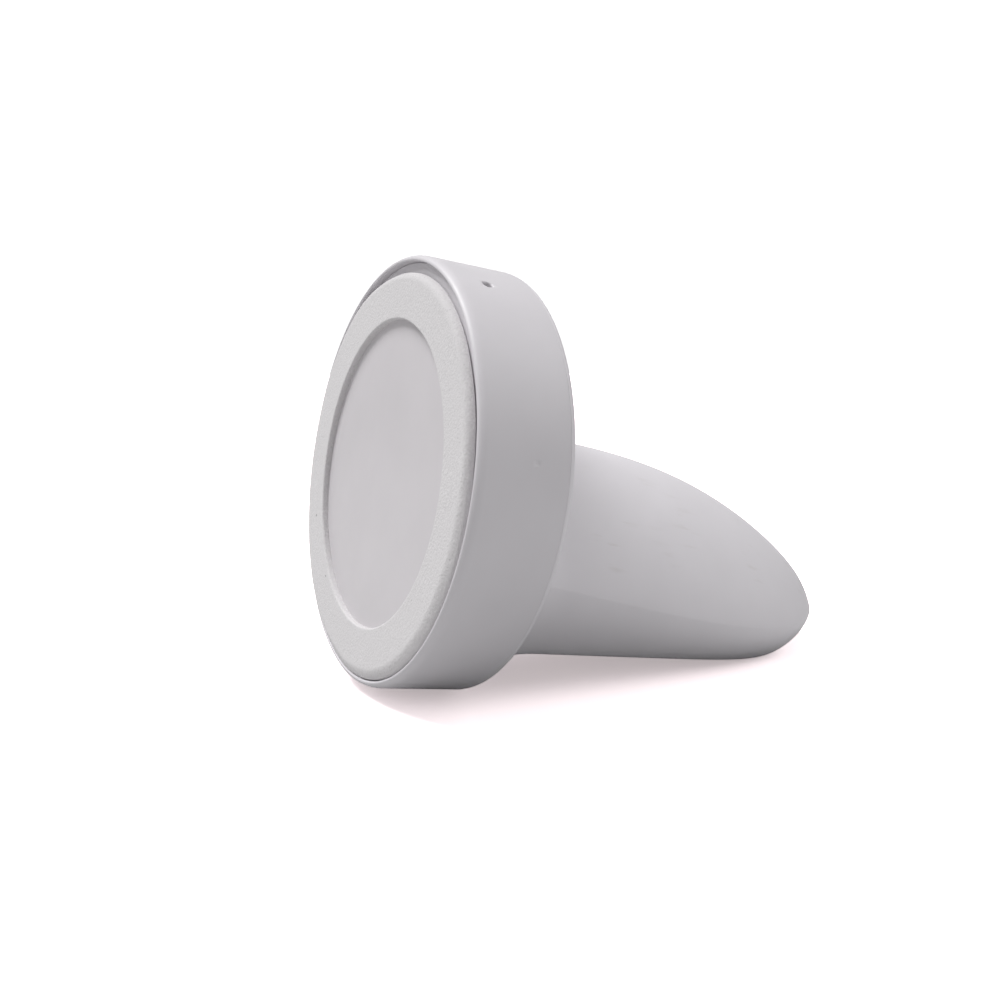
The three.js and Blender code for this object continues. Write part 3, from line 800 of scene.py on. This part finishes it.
def neck_plate(root):
    """Rings of the round neck plate. Its points lie in the directions of the arm's first ring."""
    directions = [Vector((x, 0.0, z)).normalized() for x, _, z in root]
    bevel = 0.03
    edge = NECK_EDGE_ROUND
    profile = [(NECK_RADIUS - 0.6, PIVOT_DEPTH)]
    profile += arc(NECK_RADIUS - bevel, PIVOT_DEPTH + bevel, bevel, 270, 360, 3)
    profile += arc(NECK_RADIUS - edge, NECK_BACK_DEPTH - edge, edge, 0, 90, 8)
    rings = []
    for radius, depth in profile:
        rings.append([(way.x * radius, depth, way.z * radius) for way in directions])
    return rings


def arm_skin(steps=72):
    """Outer rings from the front face of the neck plate, over the fillet, to the tip."""
    tip_depth = ARM_END_DEPTH - 0.004
    rings = neck_fillet()
    before = neck_plate(rings[0])
    for i in range(1, steps + 1):
        share = math.sin(math.pi / 2 * i / steps)
        depth = FILLET_END_DEPTH + (tip_depth - FILLET_END_DEPTH) * share
        rings.append(arm_ring(depth, 0.0))
    return mesh_from_rings(before + rings)


def opening(inset, levels):
    """Rings of the opening's outline, with one round end; each level is (further inset, height)."""
    centre = OPENING_DEPTHS[1] - OPENING_HALF_WIDTH
    corner = 0.6
    rings = []
    for further, height in levels:
        half = OPENING_HALF_WIDTH - inset - further
        front = OPENING_DEPTHS[0] + inset + further
        points = []
        for i in range(33):
            angle = math.pi * i / 32
            points.append((half * math.cos(angle), centre + half * math.sin(angle), height))
        for side, start in ((-1, 180), (1, 270)):
            for i in range(5):
                angle = math.radians(start + 22.5 * i)
                x = side * (half - corner) + corner * math.cos(angle)
                points.append((x, front + corner + corner * math.sin(angle), height))
        rings.append(points)
    return rings


def arm_cavity(steps=24):
    front, end = CAVITY_DEPTHS
    rings = [arm_ring(front + (end - front) * i / steps, -ARM_WALL, 32) for i in range(steps + 1)]
    return mesh_from_rings(rings)


def arm_mouth(bevel=0.15):
    """The opening underneath, a little wider at its rim."""
    levels = [(-bevel, ARM_BOTTOM - 1), (-bevel, ARM_BOTTOM)]
    levels += [(0.0, ARM_BOTTOM + bevel), (0.0, COVER_TOP + 1.5)]
    return mesh_from_rings(opening(0.0, levels))


def post_top(x, depth):
    """Height where a screw post ends, in the middle of the arm's wall at the post's outer edge."""
    crease, half_width, top, _ = arm_section(depth + POST_RADIUS)
    side = (abs(x) + POST_RADIUS) / half_width
    return crease + (top - crease) * (1 - side ** 2) ** (TOP_POWER / 2) - ARM_WALL / 2


def pin_along_axis(radius, end_depth, segments):
    """A round cutter from in front of the neck plate to a depth."""
    return turned([(radius, PIVOT_DEPTH - 1), (radius, end_depth)], segments, wrap=False)


def arm_shell():
    bolt_hole = pin_along_axis(BOLT_HOLE_RADIUS, CAVITY_DEPTHS[0] + 1, 48)
    washer_seat = pin_along_axis(WASHER_SEAT_RADIUS, PIVOT_DEPTH + WASHER_SEAT_DEPTH, 64)
    steps = [("DIFFERENCE", arm_cavity()), ("DIFFERENCE", arm_mouth())]
    for x, depth in BASE_SCREWS:
        post = bar(POST_RADIUS, COVER_TOP + GAP, post_top(x, depth), x, depth)
        pilot = bar(SCREW_PILOT_RADIUS, COVER_TOP - 1, COVER_TOP + 10, x, depth, 24)
        steps += [("UNION", post), ("DIFFERENCE", pilot)]
    steps += [("DIFFERENCE", bolt_hole), ("DIFFERENCE", washer_seat)]
    return combine(arm_skin(), steps)


finished("arm_skin", arm_shell(), "arm", arm_scuffed_painted_lighter, "arm_shell")


# ---- Arm: cover and sticky foot pad ----

def base_cover():
    """The cover, with a soft outer edge, a seat for the foot pad and three sunk screw holes."""
    edge = 0.2
    seat = FOOT_PAD_INSET - GAP
    levels = [
        (edge, COVER_TOP),
        (0.0, COVER_TOP - edge),
        (0.0, ARM_BOTTOM + edge),
        (0.06, ARM_BOTTOM + 0.06),
        (edge, ARM_BOTTOM),
        (seat - 0.1, ARM_BOTTOM),
        (seat, ARM_BOTTOM + 0.1),
        (seat, PAD_SEAT),
    ]
    steps = []
    for x, depth in BASE_SCREWS:
        hole = bar(SCREW_HOLE_RADIUS, ARM_BOTTOM - 1, COVER_TOP + 1, x, depth, 32)
        sink = bar(SCREW_HEAD_RADIUS, ARM_BOTTOM - 1, SCREW_HEAD_TOP, x, depth)
        steps += [("DIFFERENCE", hole), ("DIFFERENCE", sink)]
    return combine(mesh_from_rings(opening(GAP, levels)), steps)


def foot_pad():
    """A foam slab with soft lower edges; its sticky face is flat."""
    edge = 0.3
    height = PAD_SEAT - GAP - FOOT_PAD_BOTTOM
    levels = [(0.1, PAD_SEAT - GAP), (0.0, PAD_SEAT - GAP - 0.1)]
    for i in range(6):
        turn = math.radians(90 * i / 5)
        rise = edge * (1 - math.sin(turn)) * height
        levels.append((edge * (1 - math.cos(turn)), FOOT_PAD_BOTTOM + rise))
    levels += [(edge + i, FOOT_PAD_BOTTOM) for i in range(1, 6)]
    return mesh_from_rings(opening(FOOT_PAD_INSET + GAP, levels))


finished("cover_skin", base_cover(), "arm", arm_scuffed_painted_lighter, "base_cover")
soft_foot = finished("soft_foot", foot_pad(), "arm", foot_foam, "foot_pad", sharp=60)


# ---- Stage: a plain pale floor, soft light from above, and the camera ----

def pale_floor(reach=4.0):
    """The camera sees an overexposed floor. The mount gets only a plain pale floor's light from it."""
    corners = [(-reach, -reach, 0), (reach, -reach, 0), (reach, reach, 0), (-reach, reach, 0)]
    mesh = bpy.data.meshes.new("floor")
    mesh.from_pydata(corners, [], [(0, 1, 2, 3)])
    floor = bpy.data.objects.new("floor", mesh)
    bpy.context.scene.collection.objects.link(floor)
    plain = (FLOOR_ALBEDO,) * 3
    look = Look("floor_white", plain, 0.9)
    look.set("Specular IOR Level", 0.0)
    seen = look.tree.nodes.new("ShaderNodeLightPath").outputs["Is Camera Ray"]
    look.colour_from(look.blend(seen, plain, FLOOR_SEEN))
    look.set("Emission Color", (*FLOOR_GLOW, 1.0))
    glow = look.rescale(seen, 0.0, 1.0, 0.0, FLOOR_GLOW_STRENGTH)
    look.link(glow, look.shader.inputs["Emission Strength"])
    mesh.materials.append(look.material)


def soft_sun(name, towards, strength, angle):
    """A far, broad light. `towards` points from the mount to the light."""
    data = bpy.data.lights.new(name, "SUN")
    data.energy = strength
    data.angle = math.radians(angle)
    light = bpy.data.objects.new(name, data)
    light.rotation_euler = Vector(towards).to_track_quat("Z", "Y").to_euler()
    bpy.context.scene.collection.objects.link(light)


def surroundings():
    """A dim even room that the camera sees as white."""
    world = bpy.data.worlds.new("room")
    world.use_nodes = True
    tree = world.node_tree
    light = tree.nodes["Background"]
    light.inputs["Color"].default_value = (1, 1, 1, 1)
    light.inputs["Strength"].default_value = ROOM_STRENGTH
    white = tree.nodes.new("ShaderNodeBackground")
    white.inputs["Color"].default_value = (1, 1, 1, 1)
    white.inputs["Strength"].default_value = ROOM_SEEN_STRENGTH
    mix = tree.nodes.new("ShaderNodeMixShader")
    rays = tree.nodes.new("ShaderNodeLightPath")
    tree.links.new(rays.outputs["Is Camera Ray"], mix.inputs["Fac"])
    tree.links.new(light.outputs["Background"], mix.inputs[1])
    tree.links.new(white.outputs["Background"], mix.inputs[2])
    tree.links.new(mix.outputs["Shader"], tree.nodes["World Output"].inputs["Surface"])
    bpy.context.scene.world = world


def camera():
    data = bpy.data.cameras.new("camera")
    data.lens = CAMERA_LENS
    data.sensor_width = 36.0
    data.clip_start = 0.01
    viewpoint = bpy.data.objects.new("camera", data)
    viewpoint.location = CAMERA_PLACE
    viewpoint.rotation_euler = Vector(CAMERA_HEADING).to_track_quat("-Z", "Y").to_euler()
    bpy.context.scene.collection.objects.link(viewpoint)
    bpy.context.scene.camera = viewpoint


pale_floor()
surroundings()
soft_sun("key", (-0.27, -0.34, 0.90), 3.1, 30)
soft_sun("rear", (0.34, 0.74, 0.58), 0.75, 45)
soft_sun("fill", (0.60, -0.70, 0.40), 0.14, 60)
camera()
bpy.context.scene.view_settings.view_transform = "Standard"
bpy.context.scene.view_settings.look = "None"
